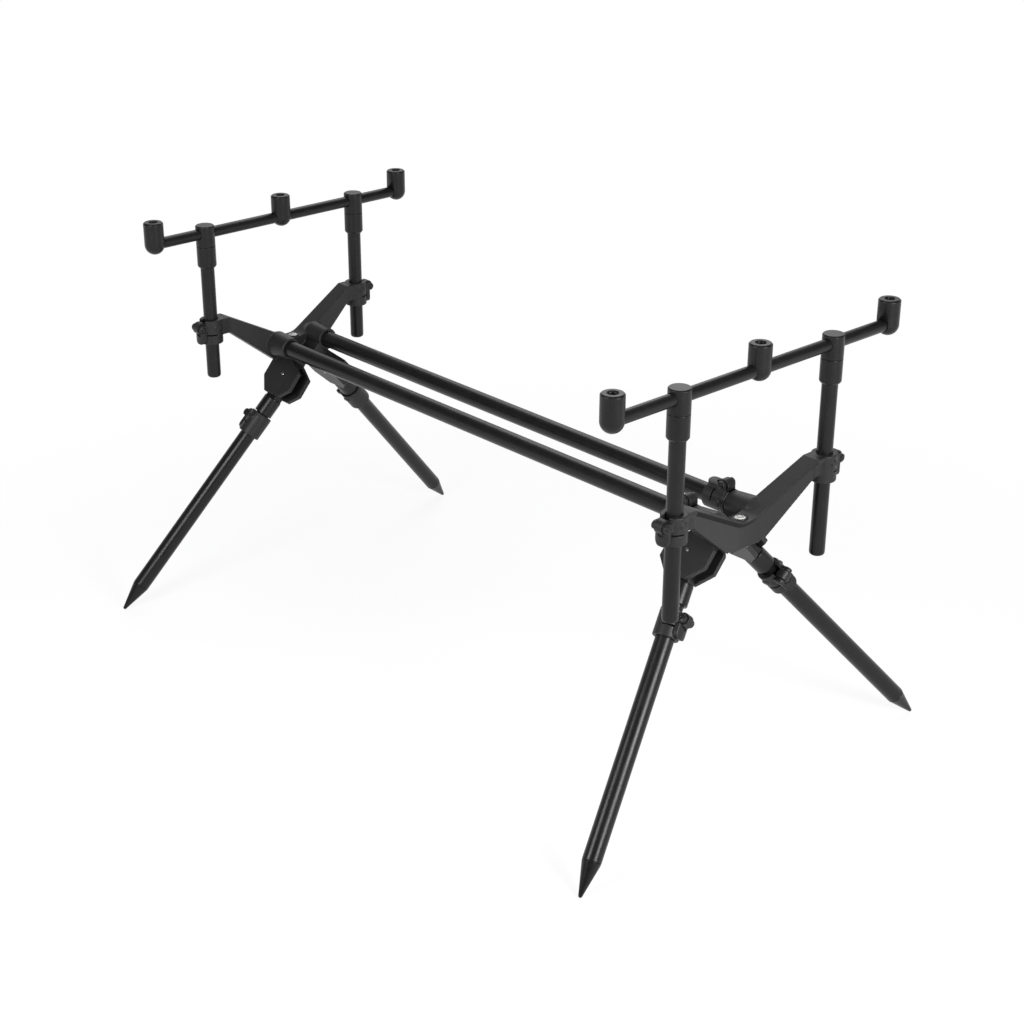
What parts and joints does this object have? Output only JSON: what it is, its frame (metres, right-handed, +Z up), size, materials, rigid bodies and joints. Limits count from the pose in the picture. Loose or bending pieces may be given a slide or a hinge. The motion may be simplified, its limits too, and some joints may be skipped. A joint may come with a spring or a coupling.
{
  "type": "rod pod",
  "caption": "Fishing rod pod: V-shaped yokes on telescopic twin bars, folding telescopic legs with spikes, and height-adjustable rest bars locked by cam levers.",
  "frame": {"origin": "on the ground, at the middle of the whole stand's footprint", "axes": "+X along the main bars towards the near yoke, +Y to the right, +Z up"},
  "size_m": [0.789, 0.5062, 0.4747],
  "materials": {
    "anodised": "satin black anodised",
    "moulded": "fine matte",
    "lever_black": "matte",
    "steel": "bright",
    "vial": "clear gloss"
  },
  "bodies": {
    "main_frame": {"far_yoke": "moulded", "far_level": "vial", "main_tube_left": "anodised", "main_tube_right": "anodised", "bar_clamp_left": "moulded", "bar_clamp_right": "moulded", "far_hinge_pins": "steel", "frame_lever_pins": "anodised"},
    "near_frame": {"near_yoke": "moulded", "near_level": "vial", "inner_tube_left": "anodised", "inner_tube_right": "anodised", "near_hinge_pins": "steel", "near_lever_pins": "anodised"},
    "upper_leg_far_left": {"leg_hinge_far_left": "anodised", "leg_inner_far_left": "anodised"},
    "lower_leg_far_left": {"leg_clamp_far_left": "moulded", "leg_pin_far_left": "anodised", "leg_tube_far_left": "anodised", "leg_spike_far_left": "anodised"},
    "upper_leg_far_right": {"leg_hinge_far_right": "anodised", "leg_inner_far_right": "anodised"},
    "lower_leg_far_right": {"leg_clamp_far_right": "moulded", "leg_pin_far_right": "anodised", "leg_tube_far_right": "anodised", "leg_spike_far_right": "anodised"},
    "upper_leg_near_left": {"leg_hinge_near_left": "anodised", "leg_inner_near_left": "anodised"},
    "lower_leg_near_left": {"leg_clamp_near_left": "moulded", "leg_pin_near_left": "anodised", "leg_tube_near_left": "anodised", "leg_spike_near_left": "anodised"},
    "upper_leg_near_right": {"leg_hinge_near_right": "anodised", "leg_inner_near_right": "anodised"},
    "lower_leg_near_right": {"leg_clamp_near_right": "moulded", "leg_pin_near_right": "anodised", "leg_tube_near_right": "anodised", "leg_spike_near_right": "anodised"},
    "far_rest_bar": {"far_cross_bar": "anodised", "far_rest_sockets": "anodised", "far_tee_heads": "anodised", "far_sleeves": "anodised", "far_posts": "anodised"},
    "near_rest_bar": {"near_cross_bar": "anodised", "near_rest_sockets": "anodised", "near_tee_heads": "anodised", "near_sleeves": "anodised", "near_posts": "anodised"},
    "post_lever_far_left": {"post_lever_far_left": "lever_black"},
    "post_lever_far_right": {"post_lever_far_right": "lever_black"},
    "post_lever_near_left": {"post_lever_near_left": "lever_black"},
    "post_lever_near_right": {"post_lever_near_right": "lever_black"},
    "bar_lever_left": {"bar_lever_left": "lever_black"},
    "bar_lever_right": {"bar_lever_right": "lever_black"},
    "leg_lever_far_left": {"leg_lever_far_left": "lever_black"},
    "leg_lever_far_right": {"leg_lever_far_right": "lever_black"},
    "leg_lever_near_left": {"leg_lever_near_left": "lever_black"},
    "leg_lever_near_right": {"leg_lever_near_right": "lever_black"}
  },
  "joints": [
    {"name": "main_slide", "type": "slide", "parent": "main_frame", "child": "near_frame", "axis": [1, 0, 0], "range_m": [0, 0.3]},
    {"name": "leg_fold_far_left", "type": "hinge", "parent": "main_frame", "child": "upper_leg_far_left", "pos_m": [-0.33821, -0.0314, 0.25473], "axis": [0, -0.7547, 0.6561], "range_deg": [0, 98]},
    {"name": "leg_slide_far_left", "type": "slide", "parent": "upper_leg_far_left", "child": "lower_leg_far_left", "axis": [-0.1461, -0.649, -0.7466], "range_m": [0, 0.17]},
    {"name": "leg_fold_far_right", "type": "hinge", "parent": "main_frame", "child": "upper_leg_far_right", "pos_m": [-0.33821, 0.0314, 0.25473], "axis": [0, -0.7547, -0.6561], "range_deg": [0, 98]},
    {"name": "leg_slide_far_right", "type": "slide", "parent": "upper_leg_far_right", "child": "lower_leg_far_right", "axis": [-0.1461, 0.649, -0.7466], "range_m": [0, 0.17]},
    {"name": "leg_fold_near_left", "type": "hinge", "parent": "near_frame", "child": "upper_leg_near_left", "pos_m": [0.31659, -0.0314, 0.25473], "axis": [0, 0.7547, -0.6561], "range_deg": [0, 97]},
    {"name": "leg_slide_near_left", "type": "slide", "parent": "upper_leg_near_left", "child": "lower_leg_near_left", "axis": [0.2198, -0.64, -0.7362], "range_m": [0, 0.17]},
    {"name": "leg_fold_near_right", "type": "hinge", "parent": "near_frame", "child": "upper_leg_near_right", "pos_m": [0.31659, 0.0314, 0.25473], "axis": [0, 0.7547, 0.6561], "range_deg": [0, 97]},
    {"name": "leg_slide_near_right", "type": "slide", "parent": "upper_leg_near_right", "child": "lower_leg_near_right", "axis": [0.2198, 0.64, -0.7362], "range_m": [0, 0.17]},
    {"name": "far_rest_slide", "type": "slide", "parent": "main_frame", "child": "far_rest_bar", "axis": [0, 0, 1], "range_m": [-0.06, 0.035]},
    {"name": "near_rest_slide", "type": "slide", "parent": "near_frame", "child": "near_rest_bar", "axis": [0, 0, 1], "range_m": [-0.035, 0.075]},
    {"name": "post_lever_turn_far_left", "type": "hinge", "parent": "main_frame", "child": "post_lever_far_left", "pos_m": [-0.38081, -0.1247, 0.32743], "axis": [-1, 0, 0], "range_deg": [0, 75]},
    {"name": "post_lever_turn_far_right", "type": "hinge", "parent": "main_frame", "child": "post_lever_far_right", "pos_m": [-0.38081, 0.1247, 0.32743], "axis": [1, 0, 0], "range_deg": [0, 75]},
    {"name": "post_lever_turn_near_left", "type": "hinge", "parent": "near_frame", "child": "post_lever_near_left", "pos_m": [0.35919, -0.1247, 0.32743], "axis": [-1, 0, 0], "range_deg": [0, 75]},
    {"name": "post_lever_turn_near_right", "type": "hinge", "parent": "near_frame", "child": "post_lever_near_right", "pos_m": [0.35919, 0.1247, 0.32743], "axis": [1, 0, 0], "range_deg": [0, 75]},
    {"name": "bar_lever_turn_left", "type": "hinge", "parent": "main_frame", "child": "bar_lever_left", "pos_m": [0.30419, -0.0274, 0.30773], "axis": [0, 1, 0], "range_deg": [0, 45]},
    {"name": "bar_lever_turn_right", "type": "hinge", "parent": "main_frame", "child": "bar_lever_right", "pos_m": [0.30419, 0.0274, 0.30773], "axis": [0, 1, 0], "range_deg": [0, 45]},
    {"name": "leg_lever_turn_far_left", "type": "hinge", "parent": "lower_leg_far_left", "child": "leg_lever_far_left", "pos_m": [-0.36416, -0.07033, 0.20994], "axis": [0, 0.7547, -0.6561], "range_deg": [0, 55]},
    {"name": "leg_lever_turn_far_right", "type": "hinge", "parent": "lower_leg_far_right", "child": "leg_lever_far_right", "pos_m": [-0.36416, 0.07033, 0.20994], "axis": [0, 0.7547, 0.6561], "range_deg": [0, 55]},
    {"name": "leg_lever_turn_near_left", "type": "hinge", "parent": "lower_leg_near_left", "child": "leg_lever_near_left", "pos_m": [0.34796, -0.072, 0.20802], "axis": [0, -0.7547, 0.6561], "range_deg": [0, 55]},
    {"name": "leg_lever_turn_near_right", "type": "hinge", "parent": "lower_leg_near_right", "child": "leg_lever_near_right", "pos_m": [0.34796, 0.072, 0.20802], "axis": [0, -0.7547, -0.6561], "range_deg": [0, 55]}
  ]
}
